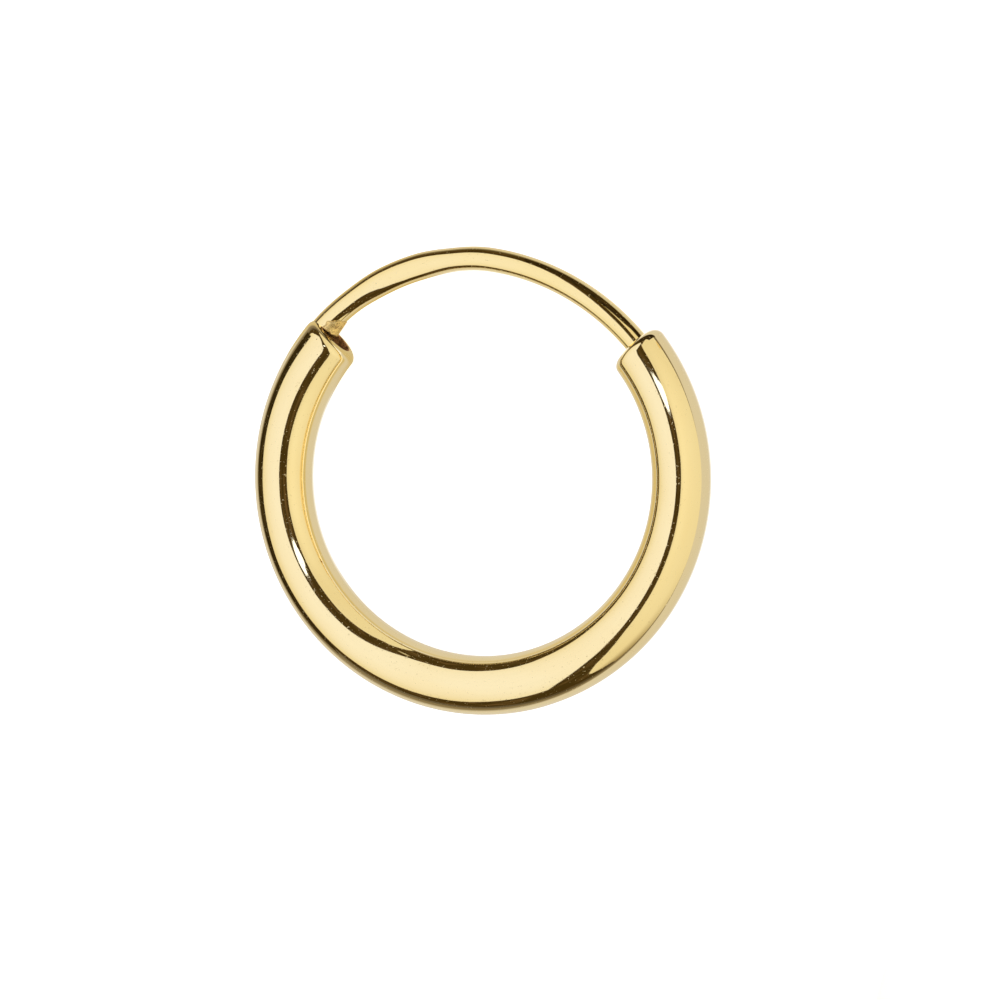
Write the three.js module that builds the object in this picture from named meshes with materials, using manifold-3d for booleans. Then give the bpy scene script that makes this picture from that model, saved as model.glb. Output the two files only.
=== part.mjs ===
// Endless hoop earring: a hollow round gold tube bent into most of a ring and open at both ends,
// with a springy ear wire. The wire is soldered to the outer side of one mouth, rises over the gap
// where the ear lobe sits, and slips loose into the other mouth.
//
// Millimetres. The earring lies on its side: the ring's axis is +Z, the surface it lies on is Z = 0,
// and the origin is the ring's centre on that surface. +Y points to the gap that the wire closes.

import * as THREE from 'three';
import { mergeVertices } from 'three/addons/utils/BufferGeometryUtils.js';
import Module from 'manifold-3d';

// --- Driving dimensions -------------------------------------------------------------------------

// The ring and its tube.
const hoopOuterDiameter = 12;
const tubeDiameter = 1.5;
const tubeWall = 0.22;
const solderedMouthAngle = 137.7; // degrees, counterclockwise from +X
const freeMouthAngle = 39.8; // the tube runs from the soldered mouth, round the bottom, to here

// The tube's ends. Each is rolled in round its mouth and cut a little on the slant.
const lipRounding = 0.24; // radius of the rolled edge
const mouthDiameter = 0.94;
const mouthDepth = 0.1; // how far down the mouth stays this narrow
const mouthFlare = 0.35; // how far down the bore has its full width
const mouthSlant = 3.3; // degrees, with the ring's outer side reaching further into the gap

// The ear wire. It swells by `wireSwell` in diameter on its way up from the solder; the four
// places are where the swelling starts, is full, starts to fade and ends.
const wireDiameter = 0.62;
const wireSwell = 0.07;
const wireSwellPlaces = [1.2, 1.9, 3, 4.3]; // from the soldered mouth, along the wire
const wireFootOffset = 0.4; // outward from the middle of the soldered mouth
const wireFootDepth = 0.45; // how far the foot is sunk below that mouth
const wireTipRounding = 0.24;

// The wire's arcs, clockwise from its foot. Each runs into the next without a kink.
const wireStartAngle = 136.3; // degrees, about the first arc's own centre, at the soldered mouth
const wireArcs = [
  { radius: 5.63, turn: 43.5 }, // rises from the solder
  { radius: 3.5, turn: 11.6 }, // crest over the lobe
  { radius: 6.19, turn: 41.4 }, // falls to the free mouth
  { radius: 4.5, turn: 24 }, // slipped into the tube
];

// The solder: a concave fillet round the wire's foot, with a plug under it inside the tube.
const solderRadius = 0.38;
const solderHeight = 0.45; // above the mouth
const solderDepth = 0.3; // below the mouth
const solderInset = 0.05; // from the wire's foot towards the middle of the mouth
const solderRootRatio = 0.9; // the fillet starts and the plug ends this much inside the wire

// How finely the round shapes are divided.
const tubeSides = 24; // a multiple of four, so that one row of flats faces straight down
const tubeStep = 4.4; // degrees of the ring to each row of facets
const lipSteps = 5;
const wireSides = 12;
const wireStep = 0.35; // length of each row of facets
const tipSteps = 3;
const solderSides = 16;
const solderSteps = 5;

// --- Derived sizes ------------------------------------------------------------------------------

const tubeRadius = tubeDiameter / 2;
const boreRadius = tubeRadius - tubeWall;
const mouthRadius = mouthDiameter / 2;
const ringRadius = hoopOuterDiameter / 2 - tubeRadius;
const wireRadius = wireDiameter / 2;
const tubeTurn = 360 - (solderedMouthAngle - freeMouthAngle);

const wasm = await Module();
wasm.setup();

// --- Helpers ------------------------------------------------------------------------------------

const radians = THREE.MathUtils.degToRad;

function onCircle(radius, degrees) {
  const angle = radians(degrees);
  return new THREE.Vector2(radius * Math.cos(angle), radius * Math.sin(angle));
}

// A flat route of arcs that run into each other. `start` is its first point, seen at
// `startAngle` from the first arc's centre. A positive turn is clockwise.
function routeOfArcs(start, startAngle, arcs) {
  const route = new THREE.CurvePath();
  let point = start;
  let angle = startAngle;
  for (const { radius, turn } of arcs) {
    const centre = point.clone().sub(onCircle(radius, angle));
    const end = angle - turn;
    const clockwise = turn > 0;
    route.add(
      new THREE.EllipseCurve(
        centre.x, centre.y, radius, radius, radians(angle), radians(end), clockwise,
      ),
    );
    point = centre.clone().add(onCircle(radius, end));
    angle = end;
  }
  return route;
}

// Points [radius, along] of a straight wall, from one place along the piece to another.
function straight(radius, from, to, steps) {
  const row = (i) => [radius, THREE.MathUtils.lerp(from, to, i / steps)];
  return Array.from({ length: steps + 1 }, (_, i) => row(i));
}

// Points [radius, along] of a quarter round, between the angles `from` and `to` in degrees.
function quarterRound(centre, size, from, to, steps) {
  const row = (i) => {
    const offset = onCircle(size, THREE.MathUtils.lerp(from, to, i / steps));
    return [centre[0] + offset.x, centre[1] + offset.y];
  };
  return Array.from({ length: steps + 1 }, (_, i) => row(i));
}

// A round piece along +Y with flat sides that lie at the profile's radii. The profile closes on
// itself or on the axis.
function turned(profile, sides) {
  const cornerRatio = 1 / Math.cos(Math.PI / sides);
  const points = profile.map(([radius, along]) => new THREE.Vector2(radius * cornerRatio, along));
  return new THREE.LatheGeometry(points, sides, Math.PI / sides);
}

// Slants the two ends of a straight piece along +Y, so that its +X side is the longer one.
function slanted(geometry, length, degrees) {
  const slope = Math.tan(radians(degrees));
  const positions = geometry.getAttribute('position');
  for (let i = 0; i < positions.count; i += 1) {
    const fromMiddle = (2 * positions.getY(i)) / length - 1;
    positions.setY(i, positions.getY(i) + positions.getX(i) * slope * fromMiddle);
  }
  return geometry;
}

// Bends a straight piece that lies along +Y round a flat route at the height of the tube's middle.
// What reaches past an end of the route goes straight on.
function bentAlong(geometry, route) {
  const length = route.getLength();
  const positions = geometry.getAttribute('position');
  for (let i = 0; i < positions.count; i += 1) {
    const along = positions.getY(i);
    const share = THREE.MathUtils.clamp(along / length, 0, 1);
    const point = route.getPointAt(share);
    const tangent = route.getTangentAt(share);
    const sideways = new THREE.Vector2(tangent.y, -tangent.x);
    point.addScaledVector(sideways, positions.getX(i));
    point.addScaledVector(tangent, along - share * length);
    positions.setXYZ(i, point.x, point.y, tubeRadius + positions.getZ(i));
  }
  return geometry;
}

function solidOf(geometry) {
  geometry.deleteAttribute('normal');
  geometry.deleteAttribute('uv');
  const merged = mergeVertices(geometry);
  const mesh = new wasm.Mesh({
    numProp: 3,
    vertProperties: merged.getAttribute('position').array,
    triVerts: new Uint32Array(merged.index.array),
  });
  return new wasm.Manifold(mesh);
}

function geometryOf(solid) {
  const mesh = solid.getMesh();
  const geometry = new THREE.BufferGeometry();
  geometry.setAttribute('position', new THREE.BufferAttribute(mesh.vertProperties, 3));
  geometry.setIndex(new THREE.BufferAttribute(mesh.triVerts, 1));
  geometry.computeVertexNormals();
  return geometry;
}

// --- Tube ---------------------------------------------------------------------------------------

// The wall's profile goes up the outside, over the lip of the free mouth, down the bore and over
// the lip of the soldered mouth. It is turned round the tube's axis, and the tube is then bent.
function makeTube() {
  const start = onCircle(ringRadius, solderedMouthAngle);
  const route = routeOfArcs(start, solderedMouthAngle, [{ radius: ringRadius, turn: -tubeTurn }]);
  const length = route.getLength();
  const steps = Math.round(tubeTurn / tubeStep);
  const lipCentre = tubeRadius - lipRounding;
  const profile = [
    ...straight(tubeRadius, lipRounding, length - lipRounding, steps),
    ...quarterRound([lipCentre, length - lipRounding], lipRounding, 0, 90, lipSteps).slice(1),
    ...straight(mouthRadius, length, length - mouthDepth, 1),
    ...straight(boreRadius, length - mouthFlare, mouthFlare, steps),
    ...straight(mouthRadius, mouthDepth, 0, 1),
    ...quarterRound([lipCentre, lipRounding], lipRounding, -90, 0, lipSteps),
  ];
  return solidOf(bentAlong(slanted(turned(profile, tubeSides), length, mouthSlant), route));
}

// --- Ear wire -----------------------------------------------------------------------------------

// The swelling's share of its full size, at a distance along the wire from the soldered mouth.
function swellAt(along) {
  const [start, full, fade, end] = wireSwellPlaces;
  const { smoothstep } = THREE.MathUtils;
  return smoothstep(along, start, full) - smoothstep(along, fade, end);
}

// The foot is sunk into the soldered mouth, so the route starts below it on the first arc.
function makeEarWire() {
  const [rise, ...others] = wireArcs;
  const atMouth = onCircle(ringRadius + wireFootOffset, solderedMouthAngle);
  const riseCentre = atMouth.sub(onCircle(rise.radius, wireStartAngle));
  const footTurn = THREE.MathUtils.radToDeg(wireFootDepth / rise.radius);
  const footAngle = wireStartAngle + footTurn;
  const foot = riseCentre.add(onCircle(rise.radius, footAngle));
  const route = routeOfArcs(foot, footAngle, [
    { radius: rise.radius, turn: rise.turn + footTurn },
    ...others,
  ]);
  const length = route.getLength();
  const tipCentre = [wireRadius - wireTipRounding, length - wireTipRounding];
  const side = straight(wireRadius, 0, length - wireTipRounding, Math.round(length / wireStep));
  const swollen = ([radius, along]) => [
    radius + (swellAt(along - wireFootDepth) * wireSwell) / 2,
    along,
  ];
  const profile = [
    [0, 0],
    ...side.map(swollen),
    ...quarterRound(tipCentre, wireTipRounding, 0, 90, tipSteps).slice(1),
    [0, length],
  ];
  return solidOf(bentAlong(turned(profile, wireSides), route));
}

// --- Solder -------------------------------------------------------------------------------------

// The fillet's hollow curve rises from the mouth to the wire, and a tapered plug fills the tube
// below it. Its axis is square to the soldered mouth.
function makeSolder() {
  const root = wireRadius * solderRootRatio;
  const hollow = new THREE.QuadraticBezierCurve(
    new THREE.Vector2(solderRadius, 0),
    new THREE.Vector2(wireRadius, solderHeight / 3),
    new THREE.Vector2(root, solderHeight),
  );
  const profile = [
    [0, -solderDepth],
    [root, -solderDepth],
    ...hollow.getPoints(solderSteps).map((point) => point.toArray()),
    [0, solderHeight],
  ];
  const centre = onCircle(ringRadius + wireFootOffset - solderInset, solderedMouthAngle);
  const geometry = turned(profile, solderSides);
  geometry.rotateZ(radians(solderedMouthAngle + 180));
  geometry.translate(centre.x, centre.y, tubeRadius);
  return solidOf(geometry);
}

// --- The earring --------------------------------------------------------------------------------

// Tube, wire and solder are one piece of metal.
const polishedGold = new THREE.MeshStandardMaterial({
  color: 0xe8c76a,
  roughness: 0.12,
  metalness: 1,
});
const joined = makeTube().add(makeEarWire()).add(makeSolder());
const hoop = new THREE.Mesh(geometryOf(joined), polishedGold);
hoop.name = 'hoop_and_ear_wire';

const earring = new THREE.Group();
earring.name = 'hoop_earring';
earring.add(hoop);

export default earring;
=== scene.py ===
"""Endless hoop earring in polished gold: a hollow tube bent into most of a ring, an ear wire and its
solder joint, lying on a pale table in a dark studio among light and dark cards.

Lengths are in metres. The earring lies on Z = 0 with the ring's centre over the origin, and +Y points
to the gap that the ear wire closes.
"""

import math

import bmesh
import bpy
from mathutils import Matrix, Vector


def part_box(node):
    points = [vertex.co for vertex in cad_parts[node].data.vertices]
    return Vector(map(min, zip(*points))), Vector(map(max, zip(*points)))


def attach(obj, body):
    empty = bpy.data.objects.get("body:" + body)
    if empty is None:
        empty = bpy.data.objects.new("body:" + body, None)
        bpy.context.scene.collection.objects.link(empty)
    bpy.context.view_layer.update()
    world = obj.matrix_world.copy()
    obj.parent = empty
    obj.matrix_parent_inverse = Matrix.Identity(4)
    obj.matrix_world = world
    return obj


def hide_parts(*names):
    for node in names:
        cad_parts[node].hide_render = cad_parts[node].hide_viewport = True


bl_info = {
    "name": "Endless Hoop Earring",
    "version": (1, 0, 0),
    "blender": (4, 5, 0),
    "location": "3D View > Sidebar > Earring",
    "description": "Builds a polished gold hoop earring around its packed solid, and sets its stage",
    "category": "Object",
}

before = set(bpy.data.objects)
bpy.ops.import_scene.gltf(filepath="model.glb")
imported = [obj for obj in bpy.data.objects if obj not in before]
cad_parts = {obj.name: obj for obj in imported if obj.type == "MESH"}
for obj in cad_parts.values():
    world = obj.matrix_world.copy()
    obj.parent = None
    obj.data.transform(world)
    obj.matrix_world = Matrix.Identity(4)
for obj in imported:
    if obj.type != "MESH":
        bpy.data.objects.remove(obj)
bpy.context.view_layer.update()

NODE = "hoop_and_ear_wire"
BODY = "root"
NODE_LOW, NODE_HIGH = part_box(NODE)
MM = 0.001
TOUCH = 1e-7  # two points this near are one point


# --- Settings -----------------------------------------------------------------------------------


def length(name, description, default):
    """A length in metres."""
    return bpy.props.FloatProperty(
        name=name, description=description, default=default, subtype="DISTANCE", unit="LENGTH", precision=6
    )


def angle(name, description, degrees):
    """An angle, kept in radians and shown in degrees."""
    return bpy.props.FloatProperty(
        name=name, description=description, default=math.radians(degrees), subtype="ANGLE", unit="ROTATION"
    )


def amount(name, description, default, high=1000.0):
    """A plain number."""
    return bpy.props.FloatProperty(name=name, description=description, default=default, min=0.0, max=high)


def count(name, description, default):
    """How many steps or sides."""
    return bpy.props.IntProperty(name=name, description=description, default=default, min=1)


def colour(name, description, default):
    """A linear colour."""
    return bpy.props.FloatVectorProperty(
        name=name, description=description, default=default, subtype="COLOR", size=3, min=0.0, max=1.0
    )


def position(name, description, default):
    """A position, or a reach along each axis, in metres."""
    return bpy.props.FloatVectorProperty(
        name=name, description=description, default=default, size=3,
        subtype="XYZ", unit="LENGTH", precision=6,
    )


class EARRING_PG_tube(bpy.types.PropertyGroup):
    """The hollow tube and the ring that it is bent into."""

    hoop_diameter: length("Hoop diameter", "Outer diameter of the ring", NODE_HIGH.x - NODE_LOW.x)
    tube_diameter: length("Tube diameter", "Outer diameter of the tube", NODE_HIGH.z - NODE_LOW.z)
    wall: length("Wall", "Thickness of the tube's wall", 0.22 * MM)
    soldered_mouth: angle("Soldered mouth", "Where on the ring the soldered mouth is", 137.7)
    free_mouth: angle("Free mouth", "Where on the ring the free mouth is", 39.8)
    slant: angle("Slant", "How far each mouth is off square, its outer side reaching further", 3.3)
    lip_rounding: length("Lip rounding", "Radius of each mouth's rolled edge", 0.24 * MM)
    mouth_diameter: length("Mouth diameter", "Diameter of the opening at each end", 0.94 * MM)
    mouth_depth: length("Mouth depth", "How far down the mouth stays that narrow", 0.1 * MM)
    mouth_flare: length("Mouth flare", "How far down the bore has its full width", 0.35 * MM)
    rim_rounding: length("Rim rounding", "Rounding of each mouth's inner edge", 0.02 * MM)
    sides: count("Sides", "Faces round the tube", 96)
    lip_steps: count("Lip steps", "Faces over each rolled edge", 12)
    rim_steps: count("Rim steps", "Faces over each mouth's inner edge", 4)


class EARRING_PG_wire(bpy.types.PropertyGroup):
    """The ear wire: arcs that run into each other, clockwise from the solder."""

    diameter: length("Diameter", "Diameter of the wire", 0.62 * MM)
    foot_offset: length("Foot offset", "Foot of the wire, outward from the middle of the mouth", 0.4 * MM)
    foot_depth: length("Foot depth", "How far the foot is sunk below the mouth", 0.45 * MM)
    start: angle("Start", "Where the first arc starts, about its own centre", 136.3)
    rise_radius: length("Rise radius", "Radius of the arc that rises from the solder", 5.63 * MM)
    rise_turn: angle("Rise turn", "Angle of that arc", 43.5)
    crest_radius: length("Crest radius", "Radius of the arc at the top", 3.5 * MM)
    crest_turn: angle("Crest turn", "Angle of that arc", 11.6)
    fall_radius: length("Fall radius", "Radius of the arc that falls to the free mouth", 6.19 * MM)
    fall_turn: angle("Fall turn", "Angle of that arc", 41.4)
    hidden_radius: length("Hidden radius", "Radius of the arc inside the tube", 4.5 * MM)
    hidden_turn: angle("Hidden turn", "Angle of that arc", 24)
    swell: length("Swell", "How much wider the wire is where it was pressed", 0.07 * MM)
    pressed: amount("Pressed", "Its thickness there, as a share of its width", 0.81, high=1.0)
    swell_start: length("Swell start", "Where it is pressed most, from the mouth", 2.0 * MM)
    swell_end: length("Swell end", "Where that starts to fade", 3.0 * MM)
    swell_fade: length("Swell fade", "Length over which it grows and fades", 1.1 * MM)
    tip_rounding: length("Tip rounding", "Rounding of the free tip", 0.24 * MM)
    tip_steps: count("Tip steps", "Faces over that rounding", 10)
    sides: count("Sides", "Faces round the wire", 64)
    step: length("Step", "Length of each row of faces", 0.06 * MM)


class EARRING_PG_solder(bpy.types.PropertyGroup):
    """The solder round the foot of the ear wire."""

    inset: length("Inset", "Its axis, from the foot towards the middle of the mouth", 0.1 * MM)
    root: amount("Root", "Radius at both ends, as a share of the wire's", 0.88, high=1.0)
    waist: length("Waist", "Radius in the crevice along the mouth", 0.285 * MM)
    radius: length("Radius", "Radius where it is widest", 0.322 * MM)
    height: length("Height", "Height of its middle above the mouth", 0.34 * MM)
    depth: length("Depth", "Depth below the mouth", 0.3 * MM)
    tilt: angle("Tilt", "How much higher it climbs on the ring's inner side", 42)
    lump_size: length("Lump size", "Size of its lumps", 0.16 * MM)
    lump_height: length("Lump height", "Height of its lumps", 0.022 * MM)
    sides: count("Sides", "Faces round it", 72)


class EARRING_PG_finish(bpy.types.PropertyGroup):
    """Colours and polish."""

    gold: colour("Gold", "Polished gold seen straight on", (0.985, 0.81, 0.44))
    gold_wire: colour("Wire gold", "Gold of the ear wire", (0.97, 0.765, 0.35))
    gold_deep: colour("Deep gold", "The warmer patches of the polish", (0.975, 0.785, 0.405))
    bore: colour("Bore", "Unpolished metal inside the tube", (0.92, 0.50, 0.22))
    solder: colour("Solder", "Unpolished solder", (1.0, 0.73, 0.29))
    tarnish: colour("Tarnish", "Specks and crevices", (0.22, 0.10, 0.03))
    roughness: amount("Roughness", "Roughness of the polish", 0.045, high=1.0)


class EARRING_PG_stage(bpy.types.PropertyGroup):
    """Table, light and camera."""

    studio: colour("Studio", "The dark studio round the table", (0.058, 0.038, 0.010))
    studio_shapes: colour("Studio shapes", "The lighter shapes in it", (0.14, 0.09, 0.04))
    backdrop: colour("Backdrop", "What shows behind the table", (0.9, 0.9, 0.9))
    table_side: length("Table side", "Length of the table's sides", 1.2)
    table: colour("Table", "The pale table", (0.9, 0.9, 0.9))
    table_glow: amount("Table glow", "Light that the lit table gives off", 0.8)
    # In the gold the table is a painted reflection: a lit pool that fades to dim and dark, painted golden
    # light inside the ring, painted light right beside the tube, and painted shade on that light.
    table_mirror: colour("Table mirror", "How bright the lit table is in the gold", (0.71, 0.70, 0.71))
    table_golden_light: colour("Table golden", "The same, inside the ring", (0.64, 0.55, 0.31))
    table_beside_light: colour("Table beside", "The same, right beside the tube", (0.98, 1.06, 1.3))
    table_dim: colour("Table dim", "How bright it is there just outside the lit pool", (0.22, 0.18, 0.12))
    table_dark: colour("Table dark", "How bright it is far outside the lit pool", (0.065, 0.047, 0.022))
    shade: position("Shade", "Middle of the shade on the light by the tube", (-10 * MM, -17.3 * MM, 0.0))
    by_mouth: position("By the mouth", "Spot just past the soldered mouth", (-3.9 * MM, 4.6 * MM, 0.0))
    golden_centre: position("Golden centre", "Middle of the golden light in the ring", (0.9 * MM, 0.0, 0.0))
    pool_centre: position("Pool centre", "Middle of the lit pool", (3.0 * MM, 0.0, 0.0))
    pool_reach: position("Pool reach", "How far it reaches along each axis", (12.2 * MM, 8.9 * MM, MM))
    camera_yaw: angle("Camera yaw", "Camera, from straight above towards +X", 16.8)
    camera_pitch: angle("Camera pitch", "Camera, from there towards +Y", 1.8)
    lens: amount("Lens", "Focal length in millimetres", 300.0)
    view_width: length("View width", "Width of the view at the ring", 25.27 * MM)
    aim_right: length("Aim right", "Middle of the view, right of the ring's centre", 0.465 * MM)
    aim_down: length("Aim down", "Middle of the view, below the ring's centre", 0.561 * MM)


# --- Modelling helpers --------------------------------------------------------------------------


def deselect_all():
    """Nothing stays selected, so that the next operator acts on the new primitive only."""
    if bpy.context.object is not None and bpy.context.object.mode != "OBJECT":
        bpy.ops.object.mode_set(mode="OBJECT")
    bpy.ops.object.select_all(action="DESELECT")


def start_circle(sides, radius, location, rotation, fill="NOTHING"):
    """A new piece that is one circle so far, in edit mode with all of it selected."""
    deselect_all()
    bpy.ops.mesh.primitive_circle_add(
        vertices=sides, radius=radius, fill_type=fill, location=location, rotation=rotation
    )
    bpy.ops.object.transform_apply(location=True, rotation=True, scale=True)
    bpy.ops.object.mode_set(mode="EDIT")
    bpy.ops.mesh.select_all(action="SELECT")
    return bpy.context.object


def pick(piece, kind, test):
    """In edit mode, selects just the vertices, edges or faces of `piece` that pass `test`."""
    bpy.ops.mesh.select_mode(type=kind)
    bpy.ops.mesh.select_all(action="DESELECT")
    mesh = bmesh.from_edit_mesh(piece.data)
    for part in {"VERT": mesh.verts, "EDGE": mesh.edges, "FACE": mesh.faces}[kind]:
        if test(part):
            part.select_set(True)
    mesh.select_flush_mode()
    bmesh.update_edit_mesh(piece.data)


def close_and_face_out():
    """In edit mode, welds seams and turns every face outward."""
    bpy.ops.mesh.select_all(action="SELECT")
    bpy.ops.mesh.remove_doubles(threshold=TOUCH)
    bpy.ops.mesh.normals_make_consistent(inside=False)


def finish_piece(piece, name, materials):
    """Names a piece, gives it its materials and puts it on the earring."""
    piece.name = name
    piece.data.name = name
    for material in materials:
        piece.data.materials.append(material)
    bpy.ops.object.mode_set(mode="OBJECT")
    bpy.ops.object.shade_smooth()
    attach(piece, BODY)
    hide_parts(NODE)


def on_circle(radius, turned):
    """A point in the ring's plane, seen from that circle's centre."""
    return Vector((radius * math.cos(turned), radius * math.sin(turned), 0.0))


def clockwise(turned):
    """The clockwise direction round the ring, at a point seen at this angle."""
    return Vector((math.sin(turned), -math.cos(turned), 0.0))


def ring_radius(tube):
    """Radius of the tube's middle line."""
    return (tube.hoop_diameter - tube.tube_diameter) / 2


# --- Materials ----------------------------------------------------------------------------------


def new_group(name, inputs, outputs):
    """An empty shader group. Inputs and outputs are (name, kind, default) and (name, kind)."""
    group = bpy.data.node_groups.new(name, "ShaderNodeTree")
    for label, kind, default in inputs:
        socket = group.interface.new_socket(name=label, in_out="INPUT", socket_type=kind)
        if default is not None:
            socket.default_value = default
    for label, kind in outputs:
        group.interface.new_socket(name=label, in_out="OUTPUT", socket_type=kind)
    return group, group.nodes.new("NodeGroupInput").outputs, group.nodes.new("NodeGroupOutput").inputs


def feed(tree, socket, value):
    """Links an output to a socket, or sets the socket to a plain value. A colour has three parts."""
    if isinstance(value, bpy.types.NodeSocket):
        tree.links.new(value, socket)
    elif socket.type == "RGBA":
        socket.default_value = (*value, 1.0)
    else:
        socket.default_value = value


def calculate(tree, operation, *values):
    """A Math node's result."""
    node = tree.nodes.new("ShaderNodeMath")
    node.operation = operation
    for socket, value in zip(node.inputs, values):
        feed(tree, socket, value)
    return node.outputs[0]


def stretch(tree, vector, scale):
    """A vector with each of its parts scaled."""
    node = tree.nodes.new("ShaderNodeVectorMath")
    node.operation = "MULTIPLY"
    tree.links.new(vector, node.inputs[0])
    feed(tree, node.inputs[1], scale)
    return node.outputs["Vector"]


def scaled(tree, vector, scale):
    """A vector or colour times a number."""
    node = tree.nodes.new("ShaderNodeVectorMath")
    node.operation = "SCALE"
    tree.links.new(vector, node.inputs[0])
    feed(tree, node.inputs["Scale"], scale)
    return node.outputs["Vector"]


def noise(tree, vector, detail, rough, distortion=0.0):
    """Cloudy noise, about one cloud to a unit."""
    node = tree.nodes.new("ShaderNodeTexNoise")
    tree.links.new(vector, node.inputs["Vector"])
    node.inputs["Scale"].default_value = 1.0
    node.inputs["Detail"].default_value = detail
    node.inputs["Roughness"].default_value = rough
    node.inputs["Distortion"].default_value = distortion
    return node.outputs["Fac"]


def between(tree, value, low, high, out_low=0.0, out_high=1.0):
    """A smooth step from `low` to `high`."""
    node = tree.nodes.new("ShaderNodeMapRange")
    node.interpolation_type = "SMOOTHSTEP"
    sockets = ("Value", "From Min", "From Max", "To Min", "To Max")
    for name, part in zip(sockets, (value, low, high, out_low, out_high)):
        feed(tree, node.inputs[name], part)
    return node.outputs["Result"]


def blend(tree, share, first, second):
    """A mix of two colours."""
    node = tree.nodes.new("ShaderNodeMix")
    node.data_type = "RGBA"
    for name, part in (("Factor", share), ("A", first), ("B", second)):
        feed(tree, node.inputs[name], part)
    return node.outputs["Result"]


def make_flow_group(radius):
    """Distance round the ring, distance from its axis, and height, from a place on the earring."""
    tree, given, result = new_group(
        "ring_flow", [("Place", "NodeSocketVector", None)], [("Flow", "NodeSocketVector")]
    )
    split = tree.nodes.new("ShaderNodeSeparateXYZ")
    tree.links.new(given["Place"], split.inputs[0])
    x, y, z = split.outputs
    seen = calculate(tree, "ARCTAN2", x, calculate(tree, "MULTIPLY", y, -1.0))
    square = calculate(tree, "ADD", calculate(tree, "MULTIPLY", x, x), calculate(tree, "MULTIPLY", y, y))
    join = tree.nodes.new("ShaderNodeCombineXYZ")
    tree.links.new(calculate(tree, "MULTIPLY", seen, radius), join.inputs["X"])
    tree.links.new(calculate(tree, "SQRT", square), join.inputs["Y"])
    tree.links.new(z, join.inputs["Z"])
    tree.links.new(join.outputs[0], result["Flow"])
    return tree


def scattered(tree, grain, share, softness):
    """A mask of a noise's highest peaks. They grow and join up as the share rises from 0 to 1."""
    limit = calculate(tree, "SUBTRACT", 0.82, calculate(tree, "MULTIPLY", share, 0.2))
    return between(tree, grain, limit, calculate(tree, "ADD", limit, softness))


# Each effect of the polish: how often it repeats in a metre along the ring, away from its axis and up,
# and then the detail and the roughness of its noise.
POLISH_GRAIN = {
    "patches": ((400, 1300, 1300), 3.0, 0.5),
    "lines": ((1500, 26000, 26000), 3.0, 0.6),
    "waves": ((420, 1500, 1500), 1.5, 0.45),
    "ripples": ((2200, 5200, 5200), 2.0, 0.5),
    "specks": ((7000, 11000, 11000), 1.0, 0.5),
    "dust": ((15000, 21000, 21000), 1.0, 0.5),
}

# What each effect adds to the roughness, and to the height as a share of the bump's distance.
POLISH_ROUGHNESS = {"lines": 0.03, "specks": 0.3, "dust": 0.28}
POLISH_HEIGHT = {"ripples": 0.06, "lines": 0.006, "specks": -0.05}


# The outputs of a surface's group, which `dress` feeds to the shader.
SURFACE = [("Color", "NodeSocketColor"), ("Roughness", "NodeSocketFloat"), ("Height", "NodeSocketFloat")]


def make_polish_group():
    """Polished metal: warmer patches, specks, dust, fine lines along the tube, a faint waviness."""
    tree, given, result = new_group(
        "hand_polish",
        [
            ("Flow", "NodeSocketVector", None),
            ("Metal", "NodeSocketColor", (1, 1, 1, 1)),
            ("Warm Metal", "NodeSocketColor", (1, 1, 1, 1)),
            ("Speck", "NodeSocketColor", (0, 0, 0, 1)),
            ("Speck Share", "NodeSocketFloat", 0.1),
            ("Dust Share", "NodeSocketFloat", 0.5),
            ("Roughness", "NodeSocketFloat", 0.05),
        ],
        SURFACE,
    )

    def grain(effect):
        repeats, detail, rough = POLISH_GRAIN[effect]
        return noise(tree, stretch(tree, given["Flow"], repeats), detail, rough)

    lines = grain("lines")
    speck = scattered(tree, grain("specks"), given["Speck Share"], softness=0.03)
    dust = scattered(tree, grain("dust"), given["Dust Share"], softness=0.05)

    patches = between(tree, grain("patches"), 0.35, 0.68)
    metal = blend(tree, patches, given["Metal"], given["Warm Metal"])
    tree.links.new(blend(tree, speck, metal, given["Speck"]), result["Color"])

    roughness = given["Roughness"]
    masks = {"lines": between(tree, lines, 0.45, 0.75), "specks": speck, "dust": dust}
    for effect, mask in masks.items():
        roughness = calculate(tree, "MULTIPLY_ADD", mask, POLISH_ROUGHNESS[effect], roughness)
    tree.links.new(roughness, result["Roughness"])

    height = grain("waves")
    for effect, part in {"ripples": grain("ripples"), "lines": lines, "specks": speck}.items():
        height = calculate(tree, "MULTIPLY_ADD", part, POLISH_HEIGHT[effect], height)
    tree.links.new(height, result["Height"])
    return tree


def make_grain_group():
    """A rough, cast surface: blotches between two colours, pits and a fine grain."""
    tree, given, result = new_group(
        "rough_grain",
        [
            ("Place", "NodeSocketVector", None),
            ("Grains per Metre", "NodeSocketFloat", 8000.0),
            ("Light", "NodeSocketColor", (1, 1, 1, 1)),
            ("Dark", "NodeSocketColor", (0, 0, 0, 1)),
            ("Dark Share", "NodeSocketFloat", 0.5),
            ("Smoothest", "NodeSocketFloat", 0.3),
            ("Roughest", "NodeSocketFloat", 0.6),
        ],
        SURFACE,
    )
    place = scaled(tree, given["Place"], given["Grains per Metre"])
    blotches = noise(tree, scaled(tree, place, 0.6), detail=3.0, rough=0.6, distortion=0.4)
    grains = noise(tree, scaled(tree, place, 2.5), detail=4.0, rough=0.65)
    blur = 0.16
    low = calculate(tree, "SUBTRACT", given["Dark Share"], blur)
    high = calculate(tree, "ADD", given["Dark Share"], blur)
    clean = between(tree, blotches, low, high)
    speckled = calculate(tree, "MULTIPLY", clean, between(tree, grains, 0.25, 0.5))
    tree.links.new(blend(tree, speckled, given["Dark"], given["Light"]), result["Color"])
    rough = between(tree, grains, 0.3, 0.7, given["Smoothest"], given["Roughest"])
    tree.links.new(rough, result["Roughness"])
    tree.links.new(calculate(tree, "MULTIPLY_ADD", grains, 0.4, blotches), result["Height"])
    return tree


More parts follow.
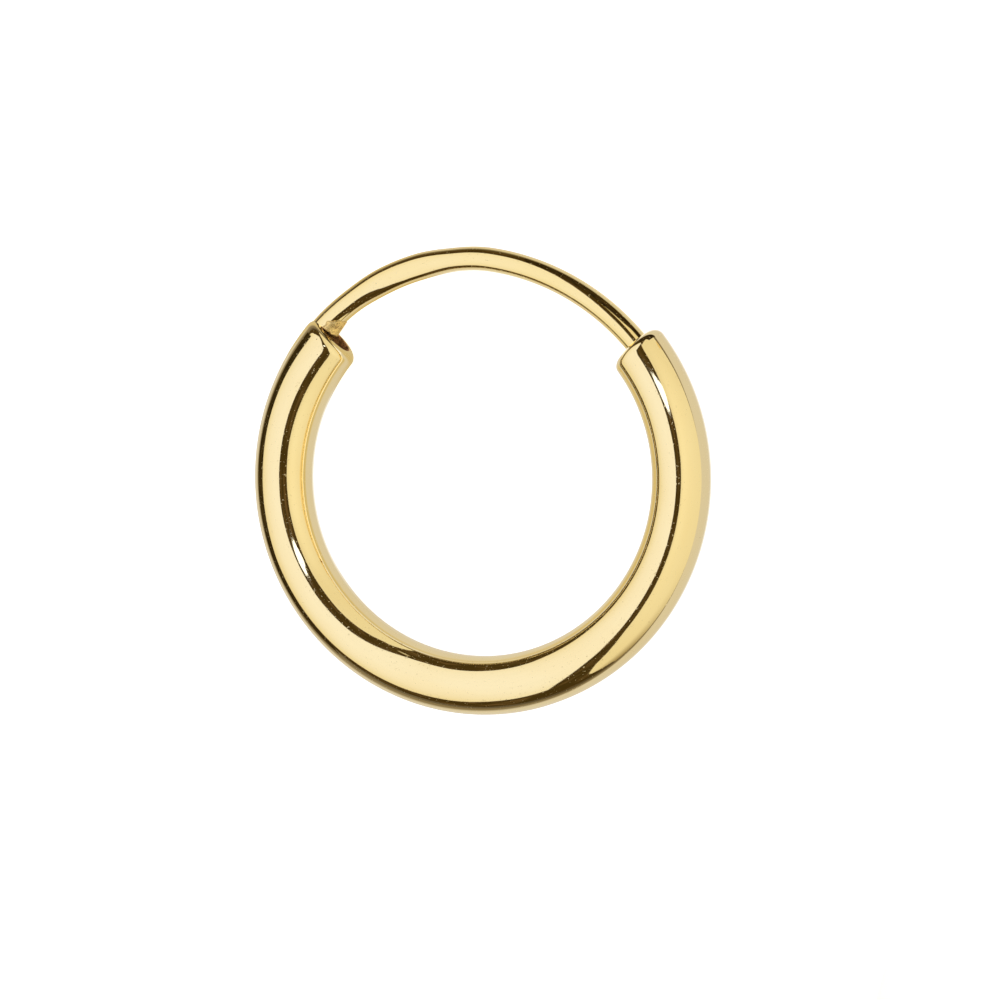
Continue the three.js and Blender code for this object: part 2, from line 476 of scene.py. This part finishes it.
def make_cloth_group():
    """Light through cloth: brightest at its heart, faded further out, and patchy."""
    tree, given, result = new_group(
        "lit_cloth",
        [
            ("Place", "NodeSocketVector", None),
            ("Heart", "NodeSocketVector", None),
            ("Reach", "NodeSocketFloat", 1.0),
            ("Bright", "NodeSocketColor", (1, 1, 1, 1)),
            ("Faded", "NodeSocketColor", (0, 0, 0, 1)),
            ("Patches per Metre", "NodeSocketFloat", 25.0),
            ("Patchiness", "NodeSocketFloat", 0.0),
        ],
        [("Color", "NodeSocketColor")],
    )
    away = tree.nodes.new("ShaderNodeVectorMath")
    away.operation = "DISTANCE"
    tree.links.new(given["Place"], away.inputs[0])
    tree.links.new(given["Heart"], away.inputs[1])
    faded = between(tree, away.outputs["Value"], 0.0, given["Reach"])
    patches = scaled(tree, given["Place"], given["Patches per Metre"])
    cloth = noise(tree, patches, detail=3.0, rough=0.6)
    dimmest = calculate(tree, "SUBTRACT", 1.0, given["Patchiness"])
    uneven = between(tree, cloth, 0.3, 0.7, dimmest, 1.0)
    glow = blend(tree, faded, given["Bright"], given["Faded"])
    tree.links.new(scaled(tree, glow, uneven), result["Color"])
    return tree


def shared_group(name, make, *values):
    """A node group, built the first time that a material needs it."""
    return bpy.data.node_groups.get(name) or make(*values)


def place_group(tree, group, **values):
    """Puts a group into a material. Each keyword is an input's name, with _ for a space."""
    node = tree.nodes.new("ShaderNodeGroup")
    node.node_tree = group
    for name, value in values.items():
        feed(tree, node.inputs[name.replace("_", " ")], value)
    return node.outputs


def new_material(name):
    """A material, its node tree and its shader's inputs."""
    material = bpy.data.materials.new(name)
    material.use_nodes = True
    tree = material.node_tree
    return material, tree, tree.nodes["Principled BSDF"].inputs


def object_place(tree, turned=0.0):
    """Object coordinates, turned about the ring's axis."""
    place = tree.nodes.new("ShaderNodeTexCoord").outputs["Object"]
    mapping = tree.nodes.new("ShaderNodeMapping")
    mapping.inputs["Rotation"].default_value = (0.0, 0.0, turned)
    tree.links.new(place, mapping.inputs["Vector"])
    return mapping.outputs["Vector"]


def dress(tree, shader, outputs, relief):
    """Feeds a group's colour, roughness and height to the material's shader."""
    tree.links.new(outputs["Color"], shader["Base Color"])
    tree.links.new(outputs["Roughness"], shader["Roughness"])
    bump = tree.nodes.new("ShaderNodeBump")
    bump.inputs["Distance"].default_value = relief
    tree.links.new(outputs["Height"], bump.inputs["Height"])
    tree.links.new(bump.outputs["Normal"], shader["Normal"])


def polished_gold(name, context, metal, turned, relief):
    """Polished gold whose lines run round the ring. They have a seam, turned to where none shows."""
    finish = context.scene.earring_finish
    material, tree, shader = new_material(name)
    flow_group = shared_group("ring_flow", make_flow_group, ring_radius(context.scene.earring_tube))
    flow = place_group(tree, flow_group, Place=object_place(tree, turned))["Flow"]
    outputs = place_group(
        tree,
        shared_group("hand_polish", make_polish_group),
        Flow=flow,
        Metal=metal,
        Warm_Metal=finish.gold_deep,
        Speck=finish.tarnish,
        Speck_Share=0.05,
        Dust_Share=0.75,
        Roughness=finish.roughness,
    )
    dress(tree, shader, outputs, relief)
    shader["Metallic"].default_value = 1.0
    return material


def rough_metal(name, context, light, dark_share, relief, metallic):
    """Metal that was never polished: the bore and the solder."""
    finish = context.scene.earring_finish
    material, tree, shader = new_material(name)
    outputs = place_group(
        tree,
        shared_group("rough_grain", make_grain_group),
        Place=object_place(tree),
        Grains_per_Metre=9000.0,
        Light=light,
        Dark=finish.tarnish,
        Dark_Share=dark_share,
        Smoothest=0.22,
        Roughest=0.5,
    )
    dress(tree, shader, outputs, relief)
    shader["Metallic"].default_value = metallic
    return material


def distance(tree, centre=(0.0, 0.0, 0.0), stretched=(1.0, 1.0, 1.0)):
    """Distance from a place, counted in stretched units."""
    mapping = tree.nodes.new("ShaderNodeMapping")
    mapping.vector_type = "TEXTURE"
    mapping.inputs["Location"].default_value = centre
    mapping.inputs["Scale"].default_value = stretched
    tree.links.new(tree.nodes.new("ShaderNodeTexCoord").outputs["Object"], mapping.inputs["Vector"])
    node = tree.nodes.new("ShaderNodeVectorMath")
    node.operation = "LENGTH"
    tree.links.new(mapping.outputs["Vector"], node.inputs[0])
    return node.outputs["Value"]


def painted_echo(tree, glow, share):
    """The glow, or that share of it where it is the mirror image of a mirror image: painted light, brighter
    or dimmer than that reflection would be.
    """
    bounces = tree.nodes.new("ShaderNodeLightPath").outputs["Glossy Depth"]
    return blend(tree, calculate(tree, "GREATER_THAN", bounces, 1.5), glow, scaled(tree, glow, share))


# Where the painted patches of light and shade in the table's reflection start to fade and where they end.
# The pool's edge and the dusk outside it are counted in pool reaches, and the others in metres.
POOL_EDGE = (0.87, 1.1)
DUSK_EDGE = (1.1, 2.0)
GOLDEN_EDGE = (1.6 * MM, 3.1 * MM)  # from the golden centre
MOUTH_GOLDEN_EDGE = (2.0 * MM, 3.0 * MM)  # from the spot by the mouth
# The share of painted golden light on the spot by the mouth.
MOUTH_GOLDEN_SHARE = 0.85  # how golden it is on that spot
BESIDE_EDGE = (0.9 * MM, 1.15 * MM)  # from the tube's middle line
SHADE_EDGE = (15.8 * MM, 16.6 * MM)  # from the middle of the shade
MOUTH_SHADE_EDGE = (2.4 * MM, 3.2 * MM)  # from the spot by the mouth
# Painted light in reflections of reflections of the table: dimmer on the ring's left side, brighter on its
# right.
ECHO_EDGE = (-2 * MM, 2 * MM)  # across the ring, from its left side to its right one
ECHO_SHARES = (0.12, 1.35)  # of its light that a mirror image of a mirror image keeps on each side


def painted_table_reflection(tree, stage, radius):
    """How bright the table is in the gold: a painted reflection, not the table's own look. Its lit pool
    ends near the earring, with painted golden light inside the ring, painted light beside the tube and
    painted shade on that light.
    """
    from_pool = distance(tree, stage.pool_centre, stage.pool_reach)
    pool = between(tree, from_pool, *POOL_EDGE, 1.0, 0.0)
    dusk = between(tree, from_pool, *DUSK_EDGE)

    from_mouth = distance(tree, stage.by_mouth)
    inside = between(tree, distance(tree, stage.golden_centre), *GOLDEN_EDGE, 1.0, 0.0)
    at_mouth = between(tree, from_mouth, *MOUTH_GOLDEN_EDGE, MOUTH_GOLDEN_SHARE, 0.0)
    golden = calculate(tree, "MAXIMUM", inside, at_mouth)

    off_ring = calculate(tree, "ABSOLUTE", calculate(tree, "SUBTRACT", distance(tree), radius))
    beside = between(tree, off_ring, *BESIDE_EDGE, 1.0, 0.0)
    for away, edge in ((distance(tree, stage.shade), SHADE_EDGE), (from_mouth, MOUTH_SHADE_EDGE)):
        beside = calculate(tree, "MULTIPLY", beside, between(tree, away, *edge))

    lit = blend(tree, golden, stage.table_mirror, stage.table_golden_light)
    lit = blend(tree, beside, lit, stage.table_beside_light)
    dark = blend(tree, dusk, stage.table_dim, stage.table_dark)
    split = tree.nodes.new("ShaderNodeSeparateXYZ")
    tree.links.new(object_place(tree), split.inputs[0])
    echo = between(tree, split.outputs["X"], *ECHO_EDGE, *ECHO_SHARES)
    return painted_echo(tree, blend(tree, pool, dark, lit), echo)


def pale_table(stage, radius):
    """A matte white table that gives off light, round a ring of this radius. The gold mirrors a painted
    reflection instead of it.
    """
    material, tree, shader = new_material("pale_table")
    table = stage.table
    outputs = place_group(
        tree,
        shared_group("rough_grain", make_grain_group),
        Place=object_place(tree),
        Grains_per_Metre=1500.0,
        Light=table,
        Dark=(table[0] * 0.985, table[1] * 0.985, table[2] * 0.98),
        Dark_Share=0.5,
        Smoothest=0.6,
        Roughest=0.75,
    )
    dress(tree, shader, outputs, 0.002 * MM)
    # Rays mirrored by the gold see the painted reflection; all other rays see the white table and its even
    # glow.
    mirrored = tree.nodes.new("ShaderNodeLightPath").outputs["Is Glossy Ray"]
    glow = blend(tree, mirrored, (stage.table_glow,) * 3, painted_table_reflection(tree, stage, radius))
    base = blend(tree, mirrored, outputs["Color"], (0.0, 0.0, 0.0))
    tree.links.new(base, shader["Base Color"])
    tree.links.new(glow, shader["Emission Color"])
    shader["Emission Strength"].default_value = 1.0
    return material


# --- Pieces -------------------------------------------------------------------------------------


class EARRING_OT_make_tube(bpy.types.Operator):
    """Build the hollow tube: a straight one with slanted, rolled-in mouths, bent into the ring"""

    bl_idname = "earring.make_tube"
    bl_label = "Make Tube"

    def execute(self, context):
        tube = context.scene.earring_tube
        finish = context.scene.earring_finish
        outer = tube.tube_diameter / 2
        bore = outer - tube.wall
        mouth = tube.mouth_diameter / 2
        half = (2 * math.pi - (tube.soldered_mouth - tube.free_mouth)) * ring_radius(tube) / 2
        end = 0.7 * MM  # stretch at each end that stays undivided while its mouth is worked
        spare = 0.2 * MM  # further stretch, for the slanted cut to take off
        rows = 16  # the middle is cut into this many rows, and each of them into as many again

        piece = start_circle(tube.sides, outer, (-half - spare, 0, 0), (0, math.pi / 2, 0))
        for reach in (end + spare, 2 * (half - end), end + spare):
            bpy.ops.mesh.extrude_region_move(TRANSFORM_OT_translate={"value": (reach, 0, 0)})
        for _ in range(2):
            pick(piece, "EDGE", lambda e: e.calc_length() > end + spare + TOUCH)
            bpy.ops.mesh.subdivide(number_cuts=rows - 1)

        for side in (-1, 1):
            middle = Vector((side * half, 0, 0))
            facing = Vector((side * math.cos(tube.slant), math.sin(tube.slant), 0))

            def on_cap(vertex):
                return abs((vertex.co - middle).dot(facing)) < TOUCH

            def on_rim(vertex):
                return on_cap(vertex) and (vertex.co - middle).length < mouth + tube.rim_rounding

            bpy.ops.mesh.select_all(action="SELECT")
            bpy.ops.mesh.bisect(plane_co=middle, plane_no=facing, use_fill=True, clear_outer=True)
            pick(piece, "FACE", lambda f: all(on_cap(v) for v in f.verts))
            bpy.ops.mesh.bevel(offset=tube.lip_rounding, segments=tube.lip_steps, affect="EDGES")
            pick(piece, "FACE", lambda f: all(on_cap(v) for v in f.verts))
            bpy.ops.mesh.inset(thickness=outer - tube.lip_rounding - mouth)
            bpy.ops.mesh.extrude_region_move(TRANSFORM_OT_translate={"value": -facing * tube.mouth_depth})
            flare = tube.mouth_flare - tube.mouth_depth
            bpy.ops.mesh.extrude_region_move(TRANSFORM_OT_translate={"value": -facing * flare})
            bpy.ops.transform.resize(
                value=(bore / mouth,) * 3, center_override=middle - facing * tube.mouth_flare
            )
            bpy.ops.mesh.delete(type="ONLY_FACE")
            pick(piece, "EDGE", lambda e: all(on_rim(v) for v in e.verts))
            bpy.ops.mesh.bevel(offset=tube.rim_rounding, segments=tube.rim_steps, affect="EDGES")
        pick(piece, "EDGE", lambda e: e.is_boundary)
        bpy.ops.mesh.bridge_edge_loops(number_cuts=rows * rows - 1, interpolation="LINEAR")
        pick(piece, "EDGE", lambda e: e.calc_length() > end / 2)  # what is still whole at the ends
        bpy.ops.mesh.subdivide(number_cuts=3)
        close_and_face_out()

        # The bend sends the middle of its length to -Y, so the tube is first shifted along its axis
        # until its ends will land on the two mouths.
        middle = (tube.soldered_mouth + tube.free_mouth) / 2 - math.pi / 2
        bpy.ops.transform.translate(value=(middle * ring_radius(tube), 0, 0))
        finish_piece(piece, "tube", [
            polished_gold("polished_tube", context, finish.gold, turned=0.0, relief=0.006 * MM),
            rough_metal("raw_bore", context, finish.bore, 0.45, relief=0.01 * MM, metallic=0.5),
        ])
        bpy.ops.object.mode_set(mode="EDIT")
        pick(piece, "FACE", lambda f: is_inside(f, bore))
        piece.active_material_index = 1
        bpy.ops.object.material_slot_assign()
        bpy.ops.object.mode_set(mode="OBJECT")

        reach = [vertex.co.x for vertex in piece.data.vertices]
        bend = piece.modifiers.new("bend", "SIMPLE_DEFORM")
        bend.deform_method = "BEND"
        bend.deform_axis = "Z"
        bend.angle = (max(reach) - min(reach)) / ring_radius(tube)
        bpy.ops.object.modifier_apply(modifier=bend.name)
        bpy.ops.object.mode_set(mode="EDIT")
        bpy.ops.mesh.select_all(action="SELECT")
        bpy.ops.transform.translate(value=(0, -ring_radius(tube), outer))
        bpy.ops.object.mode_set(mode="OBJECT")
        return {"FINISHED"}


def is_inside(face, bore):
    """True for a face of the straight tube within its bore that looks towards its axis."""
    middle = face.calc_center_median()
    facing_in = face.normal.y * middle.y + face.normal.z * middle.z < 0
    return facing_in and math.hypot(middle.y, middle.z) < bore + TOUCH


class EARRING_OT_make_ear_wire(bpy.types.Operator):
    """Build the ear wire: one circle, spun about the centre of each arc in turn, with a rounded tip"""

    bl_idname = "earring.make_ear_wire"
    bl_label = "Make Ear Wire"

    def execute(self, context):
        tube = context.scene.earring_tube
        wire = context.scene.earring_wire
        radius = wire.diameter / 2
        at_mouth = on_circle(ring_radius(tube) + wire.foot_offset, tube.soldered_mouth)
        centre = at_mouth - on_circle(wire.rise_radius, wire.start)
        foot_turn = wire.foot_depth / wire.rise_radius
        seen = wire.start + foot_turn
        arcs = [
            (wire.rise_radius, wire.rise_turn + foot_turn),
            (wire.crest_radius, wire.crest_turn),
            (wire.fall_radius, wire.fall_turn),
            (wire.hidden_radius, wire.hidden_turn),
        ]
        height = Vector((0, 0, tube.tube_diameter / 2))
        rise_centre = centre + height
        point = centre + on_circle(wire.rise_radius, seen)

        piece = start_circle(wire.sides, radius, point + height, (math.pi / 2, 0, seen))
        for arc_radius, turn in arcs:
            centre = point - on_circle(arc_radius, seen)
            steps = math.ceil(turn * arc_radius / wire.step)
            bpy.ops.mesh.spin(steps=steps, angle=turn, center=centre + height, axis=(0, 0, 1))
            seen -= turn
            point = centre + on_circle(arc_radius, seen)
        ahead = clockwise(seen)
        past, size = 0.0, radius
        for i in range(1, wire.tip_steps + 1):
            turned = i / wire.tip_steps * math.pi / 2
            further = wire.tip_rounding * math.sin(turned)
            smaller = radius - wire.tip_rounding * (1 - math.cos(turned))
            bpy.ops.mesh.extrude_region_move(TRANSFORM_OT_translate={"value": ahead * (further - past)})
            bpy.ops.transform.resize(
                value=(smaller / size,) * 3, center_override=point + height + ahead * further
            )
            past, size = further, smaller
        bpy.ops.mesh.edge_face_add()
        bpy.ops.mesh.select_mode(type="EDGE")
        bpy.ops.mesh.select_all(action="DESELECT")
        bpy.ops.mesh.select_non_manifold()
        bpy.ops.mesh.edge_face_add()
        close_and_face_out()

        def swells(vertex):
            place = vertex.co - rise_centre
            along = (wire.start - math.atan2(place.y, place.x)) * wire.rise_radius
            return wire.swell_start < along < wire.swell_end

        pick(piece, "VERT", swells)
        fading = {
            "use_proportional_edit": True,
            "proportional_edit_falloff": "SMOOTH",
            "proportional_size": wire.swell_fade,
        }
        bpy.ops.transform.shrink_fatten(value=wire.swell / 2, **fading)
        bpy.ops.transform.resize(value=(1, 1, wire.pressed), center_override=height, **fading)
        metal = context.scene.earring_finish.gold_wire
        gold = polished_gold("polished_wire", context, metal, turned=math.pi, relief=0.012 * MM)
        finish_piece(piece, "ear_wire", [gold])
        return {"FINISHED"}


class EARRING_OT_make_solder(bpy.types.Operator):
    """Build the solder: rings stacked into a collar that leans up the ear wire, then made lumpy"""

    bl_idname = "earring.make_solder"
    bl_label = "Make Solder"

    def execute(self, context):
        tube = context.scene.earring_tube
        wire = context.scene.earring_wire
        solder = context.scene.earring_solder
        finish = context.scene.earring_finish
        root = wire.diameter / 2 * solder.root
        rows = [
            {"along": -solder.depth, "radius": root, "tilt": 0.0},
            {"along": -0.02 * MM, "radius": solder.waist, "tilt": 0.0},
            {"along": 0.03 * MM, "radius": solder.radius, "tilt": 0.1},
            {"along": solder.height * 0.4, "radius": solder.radius * 0.96, "tilt": 0.45},
            {"along": solder.height * 0.85, "radius": wire.diameter / 2 * 1.05, "tilt": 0.9},
            {"along": solder.height, "radius": root, "tilt": 1.0},
        ]
        foot = on_circle(ring_radius(tube) + wire.foot_offset - solder.inset, tube.soldered_mouth)
        foot.z = tube.tube_diameter / 2
        ahead = clockwise(tube.soldered_mouth)
        bottom = foot - ahead * solder.depth
        piece = start_circle(solder.sides, root, bottom, (math.pi / 2, 0, tube.soldered_mouth), "NGON")
        for before, row in zip(rows, rows[1:]):
            bpy.ops.mesh.extrude_region_move(
                TRANSFORM_OT_translate={"value": ahead * (row["along"] - before["along"])}
            )
            middle = foot + ahead * row["along"]
            bpy.ops.transform.resize(value=(row["radius"] / before["radius"],) * 3, center_override=middle)
            bpy.ops.transform.rotate(
                value=-solder.tilt * (row["tilt"] - before["tilt"]), orient_axis="Z", center_override=middle
            )
        close_and_face_out()
        pick(piece, "EDGE", lambda e: is_rib(e, ahead))
        bpy.ops.mesh.subdivide(number_cuts=7)
        finish_piece(piece, "solder_joint", [
            rough_metal("raw_solder", context, finish.solder, 0.34, relief=0.02 * MM, metallic=1.0)
        ])
        lumps = bpy.data.textures.new("solder_lumps", "CLOUDS")
        lumps.noise_scale = solder.lump_size
        lumps.noise_depth = 2
        displace = piece.modifiers.new("lumps", "DISPLACE")
        displace.texture = lumps
        displace.strength = solder.lump_height
        bpy.ops.object.modifier_apply(modifier=displace.name)
        return {"FINISHED"}


def is_rib(edge, ahead):
    """True for an edge that runs from one ring of the solder to the next."""
    run = (edge.verts[1].co - edge.verts[0].co).normalized()
    return len(edge.link_faces) == 2 and abs(run.dot(ahead)) > 0.5


# --- Stage --------------------------------------------------------------------------------------

# Cards of cloth that the gold mirrors and the camera doesn't see, in millimetres. Of each:
#   outline: the corners round it
#   heart, reach: where it is brightest, and how far from there it has faded
#   bright, faded: its radiance at both
#   dusk, dusk_reach, dusky: a place where it is darker, how far that reaches, and the radiance there
#   patchy, weave: how much darker its patches are, and how many there are to a metre
#   echo: the share of its light that a mirror image of a mirror image keeps, painted brighter or dimmer
#   sight: how near and how far it is seen from, and outside that it is clear
CARDS = (
    {
        "name": "left_box", "echo": 1.4,
        "outline": (
            (9, -288, 150), (9, -130, 150), (5, -75, 150), (-2, -43, 150), (-8, -25, 150),
            (-12, -12, 150), (-12.5, 3, 150), (-11, 20, 150), (-6, 38, 150), (1, 62, 150),
            (7, 100, 150), (9, 140, 150), (5, 185, 150), (-12, 181, 120), (-51, 191, 120),
            (-92, 198, 120), (-143, 212, 120), (-205, 247, 120), (-267, 270, 120),
            (-430, 313, 120), (-503, 245, 96), (-535, 164, 90), (-554, 78, 84),
            (-560, 0, 82), (-553, -88, 84), (-535, -164, 88), (-503, -245, 94),
            (-453, -329, 104), (-380, -380, 134), (-282, -402, 150), (-172, -386, 150),
            (-71, -308, 150),
        ),
        "heart": (0, 0, 150), "reach": 480,
        "bright": (1.01, 1.04, 1.17), "faded": (0.87, 0.82, 0.66),
        "patchy": 0.015, "weave": 25,
    },
    {
        "name": "right_panel", "echo": 0.05,
        "outline": (
            (9.1, -16.5, 0), (8.97, -17, 1.1), (8.46, -18.8, 2.5), (7.84, -21, 4.4),
            (7.7, -21.5, 6), (7.72, -21.4, 7.5), (7.95, -20.6, 12.5), (8.43, -18.9, 16),
            (8.66, -18.1, 20), (8.83, -17.5, 26), (10.68, -11, 33), (12.38, -5, 37),
            (14.08, 1, 37), (15.79, 7, 40), (21.47, 27, 54), (33.1, 68, 90),
            (39.7, 122, 99), (46.5, 178, 97), (48.2, 225, 108), (53.9, 326, 87),
            (35.1, 328, 31), (28.8, 329, 0), (33.1, 68, 0),
        ),
        "heart": (13.9, 1, 17), "reach": 24,
        "bright": (1.0, 0.97, 0.83), "faded": (0.865, 0.82, 0.66),
        "dusk": (9, -17.5, -0.5), "dusk_reach": (130, 13, 6.5), "dusky": (0.34, 0.27, 0.14),
        "patchy": 0.015, "weave": 25,
    },
    {
        "name": "top_strip", "echo": 0.15,
        "outline": (
            (2, 14.5, 150), (11.8, 14.8, 150), (33.4, 21.5, 150), (39.8, 27.3, 150),
            (47.3, 34.4, 150), (53, 42.5, 150), (42, 40.5, 150), (28.8, 34.3, 150),
            (23.5, 34.3, 150), (5.6, 24, 150), (1, 19, 150),
        ),
        "heart": (28, 29, 150), "reach": 24,
        "bright": (2.2, 2.45, 3.2), "faded": (1.6, 1.8, 2.4),
        "patchy": 0.0, "weave": 25,
    },
    {
        "name": "far_lamp", "echo": 1.0,
        "outline": ((13, 259, 137), (34, 257, 137), (34, 257, 165), (13, 259, 165)),
        "heart": (24, 258, 150), "reach": 16,
        "bright": (1.0, 0.95, 0.8), "faded": (0.5, 0.4, 0.25),
        "patchy": 0.5, "weave": 200,
    },
    {
        "name": "near_flag", "echo": 1.0,
        "outline": (
            (5.45, 4.5, 0.85), (5.4, 4.56, 1.8), (4.88, 5.08, 1.93), (4.58, 5.31, 2.35),
            (4.36, 5.52, 2.55), (3.81, 5.91, 2.67), (3.29, 6.25, 2.6), (2.76, 6.52, 2.45),
            (2.31, 6.73, 2.2), (1.2, 7.1, 1.9), (1.2, 7.1, 0.85),
        ),
        "heart": (4, 6, 1), "reach": 3,
        "bright": (0.075, 0.05, 0.022), "faded": (0.05, 0.033, 0.012),
        "patchy": 0.8, "weave": 3000,
        "sight": (0, 3),
    },
    {
        # A card glowing in the polished gold's own colour, seen only from 13 mm away or more: painted
        # golden light in the gold's reflections.
        "name": "painted_gold_glow", "echo": 0.25,
        "outline": (
            (10, -13.2, 0.2), (10, -13, 2.2), (11.3, -8, 2.9), (12.6, -2.5, 3.6),
            (12.8, 1, 3.7), (13.2, 5, 3.2), (13.8, 9, 2.6), (14.6, 13, 1.9),
            (14.8, 14, 0.2),
        ),
        "heart": (13.2, 0, 2), "reach": 14,
        "bright": (1.0, 0.80, 0.41), "faded": (0.85, 0.68, 0.36),
        "patchy": 0.05, "weave": 300,
        "sight": (13, 1000),
    },
    {
        "name": "side_flag", "echo": 1.0,
        "outline": (
            (-11.4, 7.5, 0), (-11.4, 7.5, 4.4), (-11.4, 6.8, 4.3), (-11.4, 4.4, 3.1),
            (-11.4, 2.2, 2.7), (-11.4, 0.1, 2.8), (-11.4, -2, 2.65), (-11.4, -4.2, 2.4),
            (-11.1, -5.5, 2.2), (-10.4, -7, 2.1), (-9.4, -8.4, 1.9), (-9, -9, 0),
        ),
        "heart": (-11.4, 0, 2), "reach": 8,
        "bright": (0.06, 0.042, 0.014), "faded": (0.05, 0.034, 0.012),
        "patchy": 0.6, "weave": 900,
        "sight": (0, 12),
    },
)


def card_glow(card):
    """The card's own light, with nothing mirrored in it."""
    material, tree, shader = new_material(card["name"])
    glow = place_group(
        tree,
        shared_group("lit_cloth", make_cloth_group),
        Place=object_place(tree),
        Heart=Vector(card["heart"]) * MM,
        Reach=card["reach"] * MM,
        Bright=card["bright"],
        Faded=card["faded"],
        Patches_per_Metre=card["weave"],
        Patchiness=card["patchy"],
    )["Color"]
    if "dusk" in card:
        from_dusk = distance(tree, Vector(card["dusk"]) * MM, Vector(card["dusk_reach"]) * MM)
        glow = blend(tree, between(tree, from_dusk, 0.0, 1.0), card["dusky"], glow)
    tree.links.new(painted_echo(tree, glow, card["echo"]), shader["Emission Color"])
    shader["Base Color"].default_value = (0.0, 0.0, 0.0, 1.0)
    shader["Specular IOR Level"].default_value = 0.0
    shader["Emission Strength"].default_value = 1.0
    if "sight" in card:
        nearest, farthest = card["sight"]
        away = tree.nodes.new("ShaderNodeLightPath").outputs["Ray Length"]
        far_enough = calculate(tree, "GREATER_THAN", away, nearest * MM)
        near_enough = calculate(tree, "LESS_THAN", away, farthest * MM)
        tree.links.new(calculate(tree, "MULTIPLY", far_enough, near_enough), shader["Alpha"])
    return material


def glowing_card(card):
    """A flat card, drawn round its outline and filled, that the camera doesn't see."""
    corners = [Vector(corner) * MM for corner in card["outline"]]
    deselect_all()
    bpy.ops.mesh.primitive_plane_add(size=1.0)
    piece = bpy.context.object
    bpy.ops.object.mode_set(mode="EDIT")
    bpy.ops.mesh.select_mode(type="VERT")
    bpy.ops.mesh.select_all(action="SELECT")
    bpy.ops.mesh.merge(type="CENTER")
    bpy.ops.transform.translate(value=corners[0])
    for before, corner in zip(corners, corners[1:]):
        bpy.ops.mesh.extrude_region_move(TRANSFORM_OT_translate={"value": corner - before})
    bpy.ops.mesh.select_all(action="SELECT")
    bpy.ops.mesh.edge_face_add()
    bpy.ops.mesh.quads_convert_to_tris()
    bpy.ops.object.mode_set(mode="OBJECT")
    piece.name = card["name"]
    piece.data.materials.append(card_glow(card))
    piece.visible_camera = False
    piece.visible_diffuse = "sight" not in card
    piece.visible_shadow = "sight" not in card


def dark_studio(stage):
    """A world that is dark and warm in reflections, and pale behind the table."""
    world = bpy.data.worlds.new("dark_studio")
    world.use_nodes = True
    tree = world.node_tree
    place = tree.nodes.new("ShaderNodeTexCoord").outputs["Generated"]
    shapes = between(tree, noise(tree, scaled(tree, place, 9.0), detail=3.0, rough=0.6), 0.45, 0.75)
    dark = blend(tree, shapes, stage.studio, stage.studio_shapes)
    straight = tree.nodes.new("ShaderNodeLightPath").outputs["Is Camera Ray"]
    seen = blend(tree, straight, dark, stage.backdrop)
    tree.links.new(seen, tree.nodes["Background"].inputs["Color"])
    return world


class EARRING_OT_set_stage(bpy.types.Operator):
    """Lay out the pale table, the cards and the camera"""

    bl_idname = "earring.set_stage"
    bl_label = "Set Stage"

    def execute(self, context):
        stage = context.scene.earring_stage
        tube = context.scene.earring_tube
        deselect_all()
        bpy.ops.mesh.primitive_plane_add(size=stage.table_side)
        table = context.object
        table.name = "table"
        table.data.materials.append(pale_table(stage, ring_radius(tube)))
        for card in CARDS:
            glowing_card(card)
        context.scene.world = dark_studio(stage)

        yaw, pitch = stage.camera_yaw, stage.camera_pitch
        back = Vector((math.sin(yaw) * math.cos(pitch), math.sin(pitch), math.cos(yaw) * math.cos(pitch)))
        right = Vector((0, 1, 0)).cross(back).normalized()
        up = back.cross(right)
        data = bpy.data.cameras.new("camera")
        data.lens = stage.lens
        data.clip_start = 0.01
        camera = bpy.data.objects.new("camera", data)
        context.scene.collection.objects.link(camera)
        aim = Vector((0, 0, tube.tube_diameter / 2)) + right * stage.aim_right - up * stage.aim_down
        away = stage.view_width * stage.lens / data.sensor_width
        turn = Matrix((right, up, back)).transposed().to_4x4()
        camera.matrix_world = Matrix.Translation(aim + back * away) @ turn
        context.scene.camera = camera
        context.scene.view_settings.view_transform = "Standard"
        return {"FINISHED"}


# --- Panel and registration ---------------------------------------------------------------------

OPERATORS = (
    EARRING_OT_make_tube,
    EARRING_OT_make_ear_wire,
    EARRING_OT_make_solder,
    EARRING_OT_set_stage,
)


class EARRING_PT_panel(bpy.types.Panel):
    """Lists the settings and the steps"""

    bl_label = "Hoop Earring"
    bl_space_type = "VIEW_3D"
    bl_region_type = "UI"
    bl_category = "Earring"

    def draw(self, context):
        for name in SETTINGS:
            box = self.layout.box()
            group = getattr(context.scene, name)
            for key in group.bl_rna.properties.keys():
                if key not in ("rna_type", "name"):
                    box.prop(group, key)
        for operator in OPERATORS:
            self.layout.operator(operator.bl_idname)


SETTINGS = {
    "earring_tube": EARRING_PG_tube,
    "earring_wire": EARRING_PG_wire,
    "earring_solder": EARRING_PG_solder,
    "earring_finish": EARRING_PG_finish,
    "earring_stage": EARRING_PG_stage,
}


def register():
    for cls in (*SETTINGS.values(), *OPERATORS, EARRING_PT_panel):
        bpy.utils.register_class(cls)
    for name, cls in SETTINGS.items():
        setattr(bpy.types.Scene, name, bpy.props.PointerProperty(type=cls))


def unregister():
    for name in SETTINGS:
        delattr(bpy.types.Scene, name)
    for cls in reversed((*SETTINGS.values(), *OPERATORS, EARRING_PT_panel)):
        bpy.utils.unregister_class(cls)


def main():
    register()
    bpy.ops.earring.make_tube()
    bpy.ops.earring.make_ear_wire()
    bpy.ops.earring.make_solder()
    bpy.ops.earring.set_stage()


if __name__ == "__main__":
    main()
